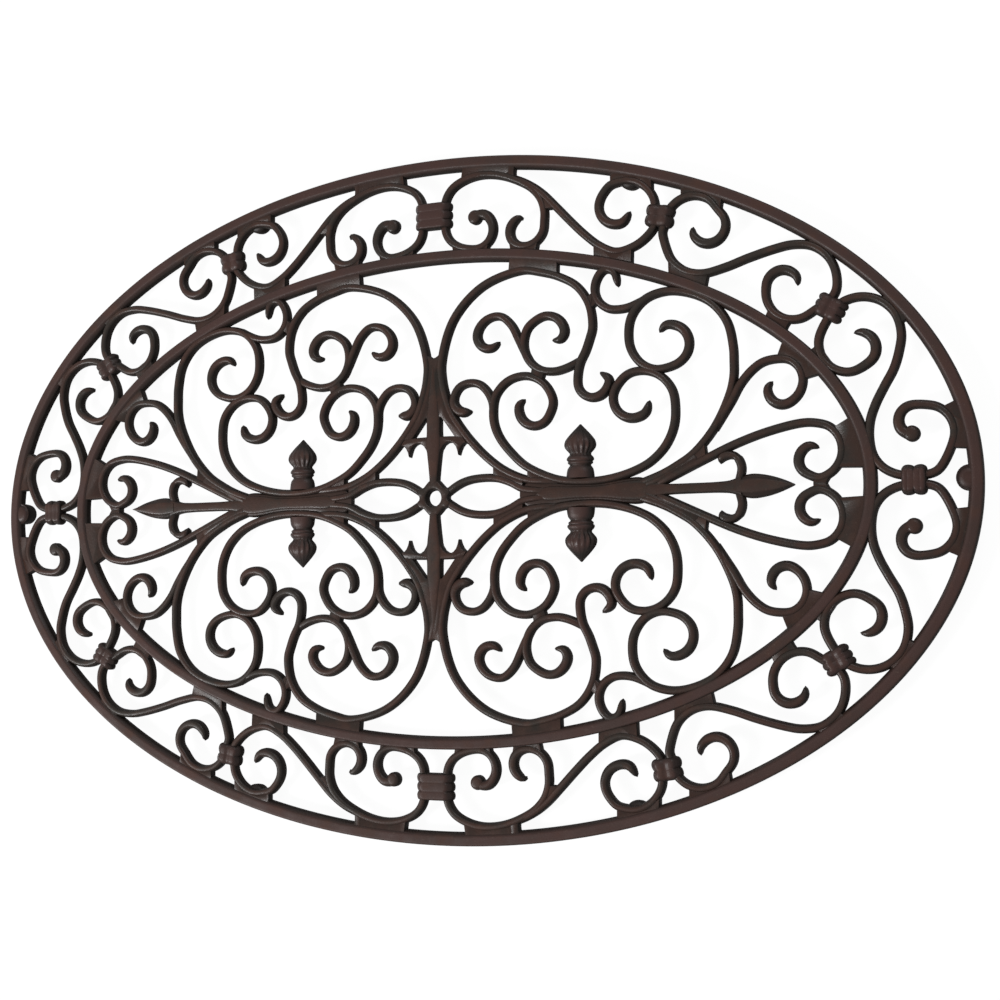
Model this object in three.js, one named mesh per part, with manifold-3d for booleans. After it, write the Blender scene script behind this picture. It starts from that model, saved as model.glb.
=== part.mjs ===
// Oval cast iron door mat: scrollwork between two oval bands, on six low feet.
// Millimetres, +X along the length, +Y across, +Z up, origin on the floor at the middle.
import * as THREE from 'three';
import { mergeVertices } from 'three/addons/utils/BufferGeometryUtils.js';
import Module from 'manifold-3d';

// Outer band
const MAT_LENGTH = 721;
const MAT_WIDTH = 465;
const RIM_BAND = 9;

// Inner band
const RING_LENGTH = 596;
const RING_WIDTH = 338;
const RING_BAND = 8.6;

// Edges of both bands: a wide slope on the inner edge, a narrow one on the outer
const CASTING_DEPTH = 7;
const INNER_SLOPE = 2.3;
const OUTER_SLOPE = 0.9;

// Feet under the outer band, two on the long axis and four along the sides
const FOOT_HEIGHT = 6;
const FOOT_RADIUS = 8;
const FOOT_DRAFT = 0.8;
const FOOT_INSET = 8.3;
const SIDE_FOOT_ANGLE = 66.2;
const END_BOSS_DROP = 1.7;
const FOOT_STUB = 3;

// Round-topped bars of the scrolls
const BAR_WIDTH = 5.6;
const BAR_DEPTH = 6.6;
const CREST_SHARE = 0.6;
const TIP_WIDTH = 2.6;
const TAPER_LENGTH = 20;
const EYE_RADIUS = 4.6;

// Leaves and petals that bars end in, with the distances from the tip where they are widest
const LEAF_TIP = 1.3;
const LEAF_WIDTH = 7.4;
const LEAF_LENGTH = 20;
const LEAF_SHOULDERS = [6, 12];
const PETAL_WIDTH = 6.7;
const PETAL_SHOULDER = 4;
const PETAL_LENGTH = 12;
const PETAL_ROOT = 4.5;

// Thin webs where bars run into each other
const WEB_DEPTH = 4.6;

// Clips that tie two bars together: their walls stand outside the bars
const CLIP_RISE = 1.6;
const CLIP_GROOVE = 0.5;
const CLIP_SLOPE = 1.4;
const SIDE_CLIP_WALL = 1.3;
const END_CLIP_WALL = 1.9;
const TIE_CLIP_WALL = 3.6;
const CORNER_CLIP_WALL = 3.4;
const SIDE_CLIP_RIDGES = 5;
const SMALL_CLIP_RIDGES = 3;

// A bar that lies nearer than this to the middle line of a clip runs through it
const CLIP_SEARCH = 14;

// Plates, rosette and finials
const PLATE_DEPTH = 6.2;
const PLATE_SLOPE = 1.2;
const ROSETTE_RADIUS = 11.5;
const ROSETTE_HOLE = 5.8;
const FINIAL_HEIGHT = 8.2;
const FINIAL_SIDES = 12;

// Space between pieces that touch
const CLEARANCE = 0.3;

// How closely facets follow the curves
const CHORD_ERROR = 1;
const LONGEST_FACET = 34;
const WALK_STEP = 1.5;
const ARC_STEP = 36;
const OVAL_FACETS = 60;
const ROUND_FACETS = 14;
const EYE_FACETS = 10;
const FOOT_FACETS = 12;
const STUB_FACETS = 6;
const MERGE_DISTANCE = 1e-4;

// A shallow arc rises over its chord by this share of its length times its turn
const RISE_OF_ARC = 1 / 8;

// Heights worked out from the sizes above
const UNDERSIDE = FOOT_HEIGHT;
const TOP = UNDERSIDE + CASTING_DEPTH;
const BAR_TOP = UNDERSIDE + BAR_DEPTH;
const BELOW = -FOOT_HEIGHT;
const ABOVE = 3 * TOP;

// Ovals of the bands, as half length and half width
const RIM_OUTER = [MAT_LENGTH / 2, MAT_WIDTH / 2];
const RIM_INNER = shrunk(RIM_OUTER, RIM_BAND);
const RING_OUTER = [RING_LENGTH / 2, RING_WIDTH / 2];
const RING_INNER = shrunk(RING_OUTER, RING_BAND);

// Ovals that the scroll routes below were drawn between
const DRAWN_RIM = [351.5, 223.5];
const DRAWN_RING = [298, 169];
const DRAWN_PANEL = [289.4, 160.4];

// Shares of the way between the bands that drawn points may lie at, and how closely one is found
const SHARE_RANGE = [-1, 2];
const SHARE_ERROR = 1e-9;

const HALF_BAR = BAR_WIDTH / 2;
const HALF_CLEARANCE = CLEARANCE / 2;

// Sides of the axes that a shape is repeated on
const BOTH = [1, -1];
const ONE = [1];

const wasm = await Module();
wasm.setup();

function shrunk(oval, distance) {
  return [oval[0] - distance, oval[1] - distance];
}

// Points on an arc, angles in degrees
function arc(x, y, radius, from, to) {
  const count = Math.ceil(Math.abs(to - from) / ARC_STEP);
  const points = [];
  for (let i = 0; i <= count; i += 1) {
    const angle = THREE.MathUtils.degToRad(from + ((to - from) * i) / count);
    points.push([x + radius * Math.cos(angle), y + radius * Math.sin(angle)]);
  }
  return points;
}

// The oval that lies at a share of the way from one oval to another
function between(inner, outer, share) {
  const { lerp } = THREE.MathUtils;
  return [lerp(inner[0], outer[0], share), lerp(inner[1], outer[1], share)];
}

// Share of the way between the drawn bands of the oval that a point lies on
function borderShare([x, y]) {
  let [low, high] = SHARE_RANGE;
  while (high - low > SHARE_ERROR) {
    const middle = (low + high) / 2;
    const [length, width] = between(DRAWN_RING, DRAWN_RIM, middle);
    if (Math.hypot(x / length, y / width) > 1) {
      low = middle;
    } else {
      high = middle;
    }
  }
  return high;
}

// Moves a drawn border point with the oval that it lies on
function border([x, y]) {
  const share = borderShare([x, y]);
  const drawn = between(DRAWN_RING, DRAWN_RIM, share);
  const now = between(RING_OUTER, RIM_INNER, share);
  return [(x * now[0]) / drawn[0], (y * now[1]) / drawn[1]];
}

// Moves a drawn point of the centre panel with the inner band
function panel([x, y]) {
  return [(x * RING_INNER[0]) / DRAWN_PANEL[0], (y * RING_INNER[1]) / DRAWN_PANEL[1]];
}

function flip(points, sideX, sideY) {
  return points.map(([x, y]) => [x * sideX, y * sideY]);
}

function solid(geometry) {
  const plain = geometry.clone();
  plain.deleteAttribute('normal');
  plain.deleteAttribute('uv');
  const merged = mergeVertices(plain, MERGE_DISTANCE);
  const vertProperties = Float32Array.from(merged.attributes.position.array);
  const triVerts = Uint32Array.from(merged.index.array);
  return new wasm.Manifold(new wasm.Mesh({ numProp: 3, vertProperties, triVerts }));
}

function geometryOf(body) {
  const mesh = body.getMesh();
  const geometry = new THREE.BufferGeometry();
  geometry.setAttribute('position', new THREE.BufferAttribute(mesh.vertProperties, 3));
  geometry.setIndex(new THREE.BufferAttribute(mesh.triVerts, 1));
  geometry.computeVertexNormals();
  return geometry;
}

function join(...bodies) {
  return bodies.reduce((whole, body) => whole.add(body));
}

// Cuts the others away and keeps the piece itself, without crumbs
function without(body, ...others) {
  const left = others.reduce((whole, other) => whole.subtract(other), body);
  const pieces = left.decompose();
  return pieces.reduce((best, piece) => (piece.volume() > best.volume() ? piece : best));
}

// Skin over a row of rings of equal count, closed by end caps or round in a loop
function loft(rings, loop = false) {
  const count = rings[0].length;
  const index = [];
  const last = loop ? rings.length : rings.length - 1;
  for (let i = 0; i < last; i += 1) {
    const here = i * count;
    const next = ((i + 1) % rings.length) * count;
    for (let j = 0; j < count; j += 1) {
      const k = (j + 1) % count;
      index.push(here + j, next + j, next + k, here + j, next + k, here + k);
    }
  }
  if (!loop) {
    const end = last * count;
    for (let j = 1; j < count - 1; j += 1) {
      index.push(0, j, j + 1, end, end + j + 1, end + j);
    }
  }
  const geometry = new THREE.BufferGeometry();
  geometry.setAttribute('position', new THREE.Float32BufferAttribute(rings.flat(2), 3));
  geometry.setIndex(index);
  return geometry;
}

// Section of a bar as it leaves the mould: flat below, drawn in towards its crest
function drafted(half, bottom, top) {
  const crest = half * CREST_SHARE;
  return [[-half, bottom], [-crest, top], [crest, top], [half, bottom]];
}

function upright(half, bottom, top) {
  return [[-half, bottom], [-half, top], [half, top], [half, bottom]];
}

// Half widths towards the ends of a bar, as pairs of distance from the end and half width
const PLAIN = [[0, HALF_BAR]];
const TAPER = [[0, TIP_WIDTH / 2], [TAPER_LENGTH, HALF_BAR]];
const LEAF = [
  [0, LEAF_TIP / 2],
  [LEAF_SHOULDERS[0], LEAF_WIDTH / 2],
  [LEAF_SHOULDERS[1], LEAF_WIDTH / 2],
  [LEAF_LENGTH, HALF_BAR],
];
const PETAL = [
  [0, TIP_WIDTH / 2],
  [PETAL_SHOULDER, PETAL_WIDTH / 2],
  [PETAL_LENGTH, PETAL_ROOT / 2],
];

function halfWidth(end, distance) {
  for (let i = 1; i < end.length; i += 1) {
    if (distance < end[i][0]) {
      const share = (distance - end[i - 1][0]) / (end[i][0] - end[i - 1][0]);
      return THREE.MathUtils.lerp(end[i - 1][1], end[i][1], share);
    }
  }
  return end[end.length - 1][1];
}

function curveThrough(points) {
  const vectors = points.map(([x, y]) => new THREE.Vector3(x, y, 0));
  return new THREE.CatmullRomCurve3(vectors, false, 'centripetal');
}

// Stations along a smooth curve, closer together where it turns
function stations(points, marks) {
  const curve = curveThrough(points);
  const length = curve.getLength();
  const steps = Math.ceil(length / WALK_STEP);
  curve.arcLengthDivisions = steps * 2;
  curve.updateArcLengths();
  const found = [];
  let turn = 0;
  let gone = 0;
  let before = curve.getTangentAt(0);
  for (let i = 0; i <= steps; i += 1) {
    const place = (length * i) / steps;
    const tangent = curve.getTangentAt(i / steps);
    turn += before.angleTo(tangent);
    before = tangent;
    const travelled = place - gone;
    const marked = marks(length).some((mark) => Math.abs(mark - place) <= WALK_STEP / 2);
    const rise = turn * travelled * RISE_OF_ARC;
    const due = rise >= CHORD_ERROR || travelled >= LONGEST_FACET;
    if (i === 0 || i === steps || marked || due) {
      found.push({ point: curve.getPointAt(i / steps), tangent, place, length });
      turn = 0;
      gone = place;
    }
  }
  return found;
}

// A bar along a route, with its ends shaped by the two lists of half widths
function sweep(route, section, grow, bottom, top) {
  const { points, start = TAPER, end = TAPER } = route;
  const marks = (length) => [
    ...start.map(([distance]) => distance),
    ...end.map(([distance]) => length - distance),
  ];
  const rings = stations(points, marks).map(({ point, tangent, place, length }) => {
    const half = Math.min(halfWidth(start, place), halfWidth(end, length - place));
    const wide = Math.max(halfWidth(start, place), halfWidth(end, length - place));
    const size = (wide > HALF_BAR ? wide : half) + grow;
    return section(size, bottom, top).map(([across, up]) => [
      point.x - tangent.y * across,
      point.y + tangent.x * across,
      up,
    ]);
  });
  return solid(loft(rings));
}

function bar(route) {
  const body = sweep(route, drafted, 0, UNDERSIDE, BAR_TOP);
  return route.eye ? join(body, eye(route.eye, 0, UNDERSIDE, BAR_TOP)) : body;
}

// The space that a bar fills with its clearance, up to a given height
function space(route, high = ABOVE) {
  const body = sweep(route, upright, CLEARANCE, BELOW, high);
  return route.eye ? join(body, eye(route.eye, CLEARANCE, BELOW, high)) : body;
}

// Domed knob in the middle of a scroll
function eye([x, y], grow, bottom, top) {
  const radius = EYE_RADIUS + grow;
  const crest = grow > 0 ? radius : radius * CREST_SHARE;
  return turned([[0, bottom], [radius, bottom], [crest, top], [0, top]], EYE_FACETS).translate([x, y, 0]);
}

// A turned solid about the upright axis, from pairs of radius and height
function turned(profile, sides) {
  const points = profile.map(([radius, height]) => new THREE.Vector2(radius, height));
  const geometry = new THREE.LatheGeometry(points, sides);
  geometry.rotateX(Math.PI / 2);
  return solid(geometry);
}

// A flat prism
function prism(points, bottom, top) {
  const shape = new THREE.Shape(points.map(([x, y]) => new THREE.Vector2(x, y)));
  const geometry = new THREE.ExtrudeGeometry(shape, { depth: top - bottom, bevelEnabled: false });
  geometry.translate(0, 0, bottom);
  return solid(geometry);
}

function web(points) {
  return prism(points, UNDERSIDE, UNDERSIDE + WEB_DEPTH);
}

// A plate whose upper edges slope
function plate(points) {
  const shape = new THREE.Shape(points.map(([x, y]) => new THREE.Vector2(x, y)));
  const geometry = new THREE.ExtrudeGeometry(shape, {
    depth: PLATE_DEPTH - PLATE_SLOPE,
    bevelThickness: PLATE_SLOPE,
    bevelSize: PLATE_SLOPE,
    bevelOffset: -PLATE_SLOPE,
    bevelSegments: 1,
  });
  geometry.translate(0, 0, UNDERSIDE);
  return solid(geometry).trimByPlane([0, 0, 1], UNDERSIDE);
}

function ovalPoints(oval) {
  const points = [];
  for (let i = 0; i < OVAL_FACETS; i += 1) {
    const angle = (2 * Math.PI * i) / OVAL_FACETS;
    points.push([oval[0] * Math.cos(angle), oval[1] * Math.sin(angle)]);
  }
  return points;
}

function ovalDisc(oval) {
  return prism(ovalPoints(oval), BELOW, ABOVE);
}

// A closed oval band with its sloped top edges
function band(outer, inner) {
  const profile = [
    [outer, UNDERSIDE],
    [outer, TOP - OUTER_SLOPE],
    [shrunk(outer, OUTER_SLOPE), TOP],
    [shrunk(inner, -INNER_SLOPE), TOP],
    [inner, TOP - INNER_SLOPE],
    [inner, UNDERSIDE],
  ];
  const loops = profile.map(([oval, z]) => ovalPoints(oval).map(([x, y]) => [x, y, z]));
  const rings = loops[0].map((_, i) => loops.map((points) => points[i]));
  return solid(loft(rings, true));
}

// Place on the oval that runs at a distance inside the outer edge
function inset(distance, angle) {
  const [length, width] = shrunk(RIM_OUTER, distance);
  return [length * Math.cos(angle), width * Math.sin(angle)];
}

// A low foot on the long axis: its boss comes up through the band and shows beside it
function endFoot() {
  const top = TOP - END_BOSS_DROP;
  const boss = turned([
    [0, 0],
    [FOOT_RADIUS - FOOT_DRAFT, 0],
    [FOOT_RADIUS, top - FOOT_DRAFT],
    [FOOT_RADIUS - FOOT_DRAFT, top],
    [0, top],
  ], FOOT_FACETS);
  return boss.translate([...inset(FOOT_INSET, 0), 0]);
}

// A low foot on a long side: its boss stays below the scrolls, on a stub inside the band
function sideFoot() {
  const angle = THREE.MathUtils.degToRad(SIDE_FOOT_ANGLE);
  const top = UNDERSIDE - CLEARANCE;
  const boss = turned([
    [0, 0],
    [FOOT_RADIUS - FOOT_DRAFT, 0],
    [FOOT_RADIUS, top],
    [0, top],
  ], FOOT_FACETS);
  const stubRadius = RIM_BAND / 2 - FOOT_DRAFT;
  const stubTop = UNDERSIDE + FOOT_STUB;
  const stub = turned([
    [0, FOOT_STUB],
    [stubRadius, FOOT_STUB],
    [stubRadius, stubTop],
    [0, stubTop],
  ], STUB_FACETS);
  const bossPlace = [...inset(FOOT_INSET, angle), 0];
  const stubPlace = [...inset(RIM_BAND / 2, angle), 0];
  return join(boss.translate(bossPlace), stub.translate(stubPlace));
}

function outerRim() {
  const end = endFoot();
  const side = sideFoot();
  const feet = [end, end.scale([-1, 1, 1])];
  for (const sideX of BOTH) {
    for (const sideY of BOTH) {
      feet.push(side.scale([sideX, sideY, 1]));
    }
  }
  return join(band(RIM_OUTER, RIM_INNER), ...feet);
}

// Routes of the border scrolls in one quarter, drawn with x and y positive
const PAIR_GAP = HALF_BAR + HALF_CLEARANCE;

const sideScroll = {
  points: [
    [30.6, 191.2],
    ...arc(32, 180.8, 12.3, 60, -90),
    [20, 170.6],
    [12, 176.3],
    [9.8, 183.3],
    [9.8, 203.2],
    [14.6, 211.7],
    [24, 216.9],
    [36, 218.9],
    [50, 217],
    [64, 211.3],
    [74, 204.4],
    [80.5, 194.5],
    ...arc(68, 180.5, 13.7, 15, -90),
    ...arc(66.5, 177, 9.8, 235, 100),
    [66, 184.7],
  ].map(border),
  start: PLAIN,
  eye: border([30.6, 191.2]),
};

const hookScroll = {
  points: [
    [57, 214.6],
    [64, 211.9],
    [72, 207.6],
    [80.3, 201.3],
    [90.3, 191],
    [100.3, 180.3],
    [110.3, 170.3],
    [120.3, 162.2],
    [132.3, 156.8],
    [144.3, 159],
    [153.3, 164.5],
    [158.8, 171.3],
    ...arc(138.3, 182, 21.3, -10, 110),
    [128.3, 201],
    ...arc(132.8, 187.5, 12.4, 150, 290),
    [142.3, 182.7],
  ].map(border),
  start: PLAIN,
};

const longScroll = {
  points: [
    [184.6, 168],
    ...arc(194.8, 167.3, 11.2, 200, 380),
    ...arc(184, 169.2, 19, 25, 180),
    [164, 167.6],
    ...arc(190.3, 162.1, 25, 190, 270),
    [205.3, 139.7],
    [220.8, 144.4],
    [238, 148.6],
    ...arc(251, 125.3, 24.8, 95, -20),
    ...arc(249.3, 121, 18.2, -50, -165),
    ...arc(241.8, 124.2, 10.5, 180, 30),
    [251.5, 125.2],
  ].map(border),
};

const endScroll = {
  points: [
    [285.3, 91.4],
    ...arc(288.3, 81.4, 10.5, 85, -40),
    ...arc(282.3, 86.4, 18.6, -85, -215),
    ...arc(289.9, 89.4, 24.2, 120, 0),
    [312.8, 79.4],
    [309.3, 68.2],
    [303.3, 57.5],
    [297.8, 47],
    [294.3, 36.8],
    [293.6, 25.6],
    [295.8, 15.4],
    [301.3, 8.2],
    [308.3, 4.3],
    [314.3, PAIR_GAP],
    [327.3, PAIR_GAP],
    [334.3, 5.8],
    ...arc(326.8, 27.8, 17.3, -25, 90),
    ...arc(320.6, 36, 9.3, 100, 215),
    [318.8, 26.7],
  ].map(border),
  start: PLAIN,
  end: PLAIN,
  eye: border([318.8, 26.7]),
};

// Middle lines of the clips, each drawn from one end to the other
const sideClipLine = [[0, 184.8], [0, 202.8]].map(border);
const endClipLine = [[312, 0], [329, 0]].map(border);
const tieClipLine = [[161.2, 169.4], [163.9, 184.6]].map(border);
const cornerClipLine = [[268, 101.9], [275, 114.1]].map(border);

// Webs between the border scrolls and the bands
const sideWebs = [
  [[21, 217.5], [57.5, 213], [57.5, 228], [23, 229]],
  [[14, 173], [41, 173], [40, 160], [16, 161]],
  [[56, 171], [78, 171], [76, 160], [58, 161]],
];
const hookWebs = [
  [[118, 161], [143, 160], [140, 148], [118, 150]],
  [[58, 214], [66, 210], [68, 222], [58, 227]],
  [[80, 200], [88, 192], [87, 188.5], [83, 188.5]],
];
const longWebs = [
  [[168, 147], [194, 138], [192, 124], [168, 136]],
  [[256, 149], [272, 138], [280, 142], [264, 158]],
  [[233, 113], [249, 103], [243, 92], [228, 103]],
];
const endWebs = [
  [[262, 90], [272, 74], [264, 66], [253, 84]],
  [[300, 111], [314, 94], [322, 98], [308, 116]],
  [[343, 17], [343, 43], [353, 46], [354, 18]],
];

// Routes of the centre panel in one quarter
const lyreScroll = {
  points: [
    [69.3, 61.5],
    ...arc(74.3, 57, 11.3, 165, 340),
    ...arc(65.3, 57.5, 21.9, 10, 190),
    [45.2, 45.5],
    [49.2, 37.3],
    [56.2, 28.7],
    [65.3, 20.2],
    [76.3, 14.1],
    [90, 9.2],
    [105, 7.4],
    [120, 7.6],
    [135, 10.3],
    [147.3, 14.6],
    [155.3, 19.2],
    [164.3, 28.2],
    [169.8, 39.8],
    ...arc(147.8, 54.1, 23.3, -5, 110),
    ...arc(142.3, 60.4, 13.4, 140, 310),
    [153.8, 58],
  ].map(panel),
};

const lyreHook = {
  points: [
    [43.8, 64],
    [38.8, 71.4],
    [33.3, 75.8],
    [26.3, 77.1],
    [19.3, 74.8],
    [15.3, 69],
    [14.8, 63],
    [19.3, 58],
    [28.3, 57.5],
  ].map(panel),
  start: PLAIN,
  end: LEAF,
};

const innerLoop = {
  points: [
    [70.2, 10.8],
    [62, 13.2],
    [49.8, 19.2],
    [37.8, 27.7],
    [27.7, 37.3],
    [19.7, 46.8],
    [12.2, 58.5],
    [8.2, 70],
    [5.9, 80],
    ...arc(67.6, 88.3, 62.3, 176, 92),
    ...arc(80.3, 111, 35, 80, -5),
    [113.6, 102],
    [110.3, 93],
    [106.3, 85],
    ...arc(115.3, 73, 11, 170, 330),
    [126.3, 73],
    [119.8, 78.5],
  ].map(panel),
  start: PLAIN,
};

const heartScroll = {
  points: [
    [104.5, 86],
    [95.3, 82],
    ...arc(86.3, 100.8, 19.9, -85, -210),
    ...arc(82.8, 105.8, 12.7, 125, 5),
    [92.8, 102.1],
    [86.3, 101.6],
  ].map(panel),
  start: PLAIN,
};

const heartBranch = {
  points: [
    [66.3, 92],
    [62.8, 103.8],
    [57.3, 114.2],
    [49.3, 120.7],
    [40.3, 119.7],
    [33.8, 113.7],
    [32.3, 106.8],
    [36.3, 100.8],
    [43.3, 99.8],
    [48.8, 103.8],
  ].map(panel),
  start: PLAIN,
};

const outerLoop = {
  points: [
    [144, 3.5],
    [161.8, 9.9],
    [171.8, 15],
    [182.8, 22.2],
    [196.5, 37.7],
    [206.8, 58.2],
    [209.6, 69.3],
    [209.9, 80],
    ...arc(171.3, 88.3, 38.3, 0, 75),
    ...arc(165.3, 102.2, 25.5, 90, 190),
    ...arc(161.3, 98.2, 20.6, 205, 290),
    ...arc(167.6, 92.8, 13.2, 305, 460),
    [160.8, 101.3],
  ].map(panel),
  start: PLAIN,
};

const loopHook = {
  points: [
    [148.5, 121.7],
    [140.3, 119.2],
    [133.3, 118.7],
    ...arc(131.3, 133.2, 14.3, 250, 150),
    [124.3, 145.7],
    [130.3, 143.7],
    [133.3, 133.2],
  ].map(panel),
  start: PLAIN,
  end: LEAF,
};

const loopBranch = {
  points: [
    [202.3, 45.6],
    [208, 54.2],
    [213.8, 64.2],
    [220.8, 72.2],
    [228.3, 77.3],
    ...arc(239.3, 64.8, 14.3, 100, -30),
    ...arc(240.8, 59.6, 9.5, -50, -190),
    [234.6, 65.1],
  ].map(panel),
  start: PLAIN,
};

const fanScroll = {
  points: [
    [156, 2.5],
    [168.3, 8.1],
    [190.3, 18.2],
    [210.3, 26.9],
    [230.3, 33.5],
    [251.3, 37.8],
    ...arc(259.8, 20.5, 17.2, 90, -80),
    ...arc(259.3, 14.5, 9.4, 250, 100),
    [263, 21.8],
  ].map(panel),
  start: PLAIN,
};

// Webs of the centre panel
const innerWebs = [[[56, 148], [91.5, 144], [92, 158], [57, 162]]];
const outerWebs = [
  [[243, 78], [252, 71], [262, 74], [250, 86]],
  [[109, 126], [117, 125], [116, 134], [108, 133]],
];
const heartWebs = [[[70, 77], [80, 72], [84, 83], [72, 88]]];
const fanWebs = [
  [[272, 38], [276, 8], [290, 6], [290, 44]],
  [[257, HALF_CLEARANCE], [269, HALF_CLEARANCE], [266, 5], [259, 5]],
];

// Outline of the plate and spear on the long axis, upper half from left to right
const spearHalf = [
  [63, 0],
  [66, 5],
  [71, 10],
  [80, 11],
  [92, 7],
  [105, 5.5],
  [120, 5.5],
  [135, 8],
  [147, 8.5],
  [154, 5.5],
  [165, 3.5],
  [200, 3.5],
  [207, 4],
  [213, 6.5],
  [220, 7.8],
  [228, 7],
  [236, 5],
  [243, 2.2],
  [247, 0],
];

const petal = {
  points: [
    [211.8, 3],
    [213.8, 11.5],
    [211.3, 18],
    [206.3, 20.2],
    [201.3, 18.5],
    [200.3, 14.5],
  ].map(panel),
  start: PLAIN,
  end: PETAL,
};

// Upright bar of the rosette from the middle to its upper end, right side, with its collar
const mullionHalf = [
  [3.7, 0],
  [3.7, 12],
  [4.2, 26],
  [5, 37],
  [5.8, 43],
  [5.8, 56],
  [4.2, 64],
  [2.8, 80],
  [2.6, 95],
  [1.2, 97],
];

const almond = {
  points: [
    [8, 3.6],
    [19.8, 8],
    [29.8, 11],
    [39.8, 12.1],
    [47, 11.7],
    [56, 8.7],
    [66, 3.5],
  ].map(panel),
  start: PLAIN,
  end: PLAIN,
};

// Thin arm from the upright bar to the inner loop, with a thorn that points to the middle
const crossArm = [
  [0, 41.8],
  [22, 41.3],
  [25, 36],
  [21.8, 35.1],
  [18.6, 28.3],
  [15.2, 36.6],
  [10, 37],
  [5, 33],
  [0, 32],
];

// Radius and distance from the root of the finials
const finialProfile = [
  [0, 0],
  [8.6, 0],
  [9.4, 5],
  [7.4, 8],
  [9.5, 11],
  [7.2, 15],
  [10.6, 19],
  [10.9, 22.5],
  [8, 29],
  [3, 33.5],
  [0, 35.5],
];
const FINIAL_PLACE = [105, 9.7];

function flippedRoute(route, sideX, sideY) {
  const flipped = { ...route, points: flip(route.points, sideX, sideY) };
  if (route.eye) {
    [flipped.eye] = flip([route.eye], sideX, sideY);
  }
  return flipped;
}

function mirroredSpaces(route, sidesX, sidesY, high) {
  return sidesX.flatMap((sx) => sidesY.map((sy) => space(flippedRoute(route, sx, sy), high)));
}

// The outline of the spear plate, grown by a clearance
function spearSpace(sideX) {
  const upper = spearHalf.map(([x, y]) => panel([x, y]));
  const grown = upper.map(([x, y]) => [x * sideX, y + CLEARANCE]);
  const lower = grown.map(([x, y]) => [x, -y]).reverse();
  const plateSpace = prism([...grown, ...lower], BELOW, ABOVE);
  return join(plateSpace, ...mirroredSpaces(petal, [sideX], BOTH));
}

function spear() {
  const upper = spearHalf.map(panel);
  const lower = upper.slice(1, -1).map(([x, y]) => [x, -y]).reverse();
  const petals = BOTH.map((sy) => bar(flippedRoute(petal, 1, sy)));
  const body = join(plate([...upper, ...lower]), ...petals);
  return without(body, ...mirroredSpaces(lyreScroll, ONE, BOTH));
}

function borderPiece(routes, webs, neighbours) {
  const drawn = webs.map((points) => web(points.map(border)));
  const whole = betweenBands(join(...routes.map(bar), ...drawn));
  return without(whole.intersect(quarterSpace()), ...neighbours);
}

// What a body has between the two bands, clear of both
function betweenBands(body) {
  const inside = body.intersect(ovalDisc(shrunk(RIM_INNER, CLEARANCE)));
  return inside.subtract(ovalDisc(shrunk(RING_OUTER, -CLEARANCE)));
}

function panelPiece(routes, webs, neighbours) {
  const drawn = webs.map((points) => web(points.map(panel)));
  const whole = join(...routes.map(bar), ...drawn);
  const inside = whole.intersect(ovalDisc(shrunk(RING_INNER, CLEARANCE)));
  return without(inside.intersect(quarterSpace()), ...neighbours);
}

// One quarter of the mat, held back from both axes by half the clearance
function quarterSpace() {
  const near = HALF_CLEARANCE;
  const corners = [[near, near], [MAT_LENGTH, near], [MAT_LENGTH, MAT_WIDTH], [near, MAT_WIDTH]];
  return prism(corners, BELOW, ABOVE);
}

// Middle, length and turn of a clip's middle line
function lineFrame([[x0, y0], [x1, y1]]) {
  return {
    x: (x0 + x1) / 2,
    y: (y0 + y1) / 2,
    along: Math.hypot(x1 - x0, y1 - y0),
    turn: Math.atan2(x0 - x1, y1 - y0),
  };
}

// How far the bars under a clip run from its middle line, as seen along the line
function spread(routes, { x, y, along, turn }) {
  const middle = new THREE.Vector3(x, y, 0);
  const up = new THREE.Vector3(0, 0, 1);
  let widest = 0;
  for (const { points } of routes) {
    const curve = curveThrough(points);
    const steps = Math.ceil(curve.getLength() / WALK_STEP);
    for (const point of curve.getSpacedPoints(steps)) {
      const seen = point.sub(middle).applyAxisAngle(up, -turn);
      const across = Math.abs(seen.x);
      if (Math.abs(seen.y) <= along / 2 + WALK_STEP && across <= CLIP_SEARCH) {
        widest = Math.max(widest, across);
      }
    }
  }
  return widest;
}

// A ridged block over two bars, its ridges running across them
function clipBlock({ x, y, along, turn }, reachAcross, ridges) {
  const rings = [];
  for (let i = 0; i <= 2 * ridges; i += 1) {
    const place = along * (i / (2 * ridges) - 0.5);
    const groove = i % 2 === 0 ? CLIP_GROOVE : 0;
    const top = BAR_TOP + CLEARANCE + CLIP_RISE - groove;
    const half = reachAcross - groove;
    rings.push([
      [half, place, UNDERSIDE],
      [half, place, BAR_TOP],
      [half - CLIP_SLOPE, place, top],
      [CLIP_SLOPE - half, place, top],
      [-half, place, BAR_TOP],
      [-half, place, UNDERSIDE],
    ]);
  }
  const geometry = loft(rings);
  geometry.rotateZ(turn);
  geometry.translate(x, y, 0);
  return solid(geometry);
}

function clip(line, wall, ridges, routes, sidesX, sidesY) {
  const frame = lineFrame(line);
  const reachAcross = spread(routes, frame) + HALF_BAR + CLEARANCE + wall;
  const roof = BAR_TOP + CLEARANCE;
  const spaces = routes.flatMap((route) => mirroredSpaces(route, sidesX, sidesY, roof));
  return without(betweenBands(clipBlock(frame, reachAcross, ridges)), ...spaces);
}

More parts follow.
